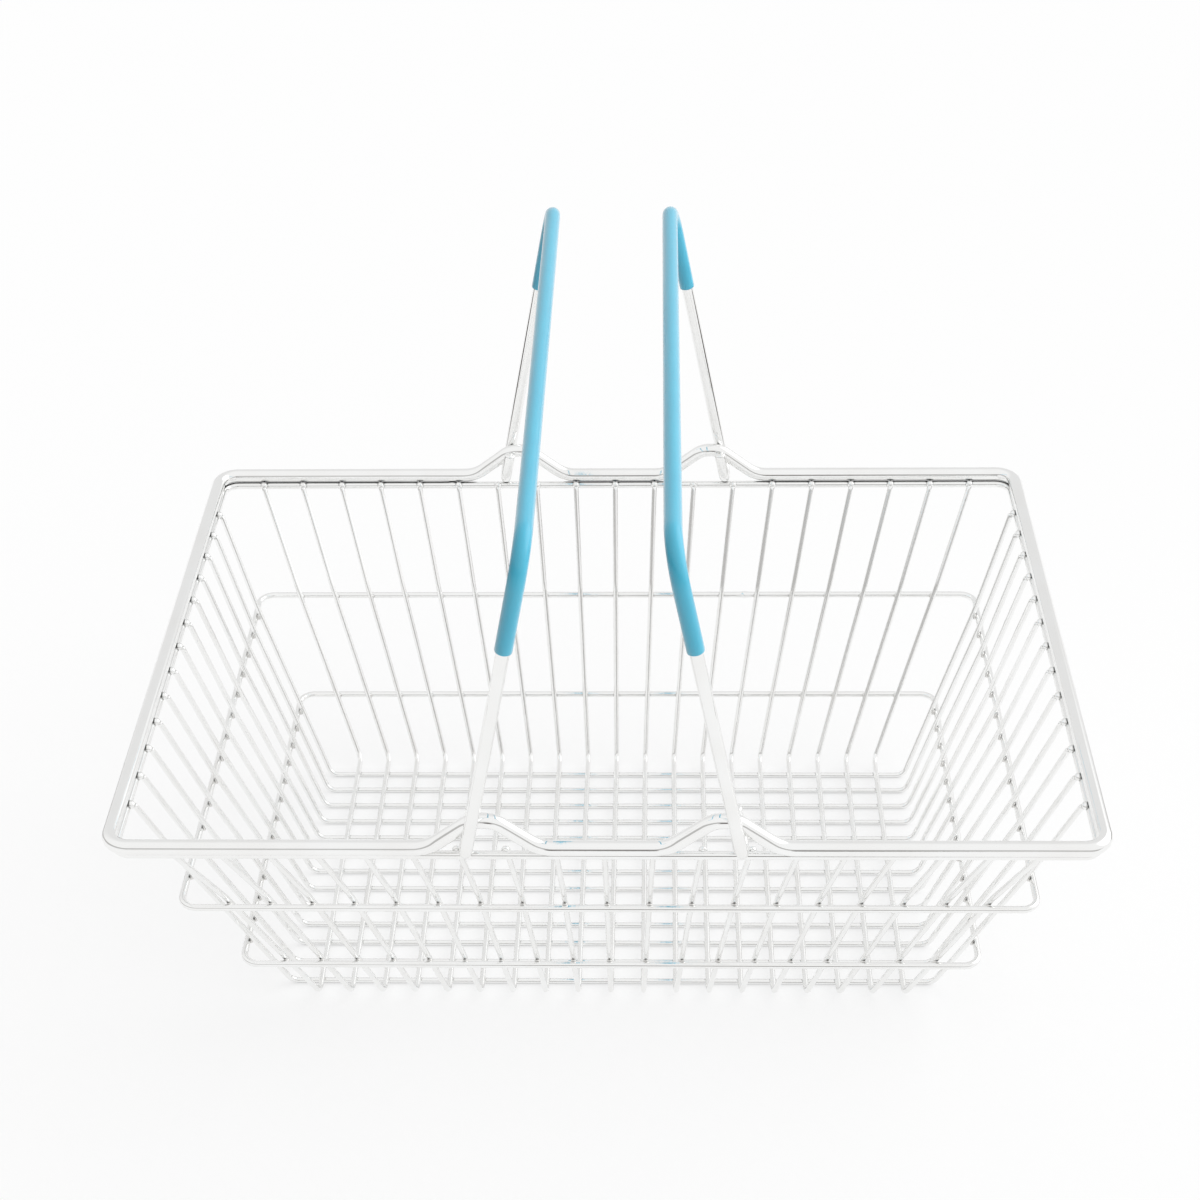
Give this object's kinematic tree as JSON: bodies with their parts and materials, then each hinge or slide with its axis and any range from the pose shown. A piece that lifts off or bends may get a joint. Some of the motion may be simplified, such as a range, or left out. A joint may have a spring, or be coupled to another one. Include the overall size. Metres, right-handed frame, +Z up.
{
  "type": "wire shopping basket",
  "caption": "Small open basket of welded chrome wire with outward leaning mesh walls, a humped rim and swinging wire handles with blue plastic grip sleeves.",
  "frame": {"origin": "on the table, under the middle of the basket", "axes": "+Z up, +X along the basket's length to the right, +Y to the back long side"},
  "size_m": [0.2266, 0.1712, 0.1613],
  "materials": {
    "chrome_wire": "bright chrome plating over welded wire",
    "grip_plastic": "satin sky blue soft plastic tube"
  },
  "bodies": {
    "basket": {"cross_wire_01": "chrome_wire", "cross_wire_02": "chrome_wire", "cross_wire_03": "chrome_wire", "cross_wire_04": "chrome_wire", "cross_wire_05": "chrome_wire", "cross_wire_06": "chrome_wire", "cross_wire_07": "chrome_wire", "cross_wire_08": "chrome_wire", "cross_wire_09": "chrome_wire", "cross_wire_10": "chrome_wire", "cross_wire_11": "chrome_wire", "cross_wire_12": "chrome_wire", "cross_wire_13": "chrome_wire", "cross_wire_14": "chrome_wire", "cross_wire_15": "chrome_wire", "cross_wire_16": "chrome_wire", "cross_wire_17": "chrome_wire", "cross_wire_18": "chrome_wire", "cross_wire_19": "chrome_wire", "length_wire_01": "chrome_wire", "length_wire_02": "chrome_wire", "length_wire_03": "chrome_wire", "length_wire_04": "chrome_wire", "length_wire_05": "chrome_wire", "length_wire_06": "chrome_wire", "length_wire_07": "chrome_wire", "length_wire_08": "chrome_wire", "length_wire_09": "chrome_wire", "length_wire_10": "chrome_wire", "length_wire_11": "chrome_wire", "length_wire_12": "chrome_wire", "length_wire_13": "chrome_wire", "lower_hoop": "chrome_wire", "upper_hoop": "chrome_wire", "top_band": "chrome_wire", "rim_wire": "chrome_wire"},
    "left_handle": {"left_handle": "chrome_wire", "left_grip_sleeve": "grip_plastic"},
    "right_handle": {"right_handle": "chrome_wire", "right_grip_sleeve": "grip_plastic"}
  },
  "joints": [
    {"name": "left_handle_swing", "type": "hinge", "parent": "basket", "child": "left_handle", "pos_m": [-0.0308, 0, 0.07817], "axis": [0, -1, 0], "range_deg": [-9.1, 98.1]},
    {"name": "right_handle_swing", "type": "hinge", "parent": "basket", "child": "right_handle", "pos_m": [0.0308, 0, 0.07817], "axis": [0, 1, 0], "range_deg": [-9.1, 98.1]}
  ]
}
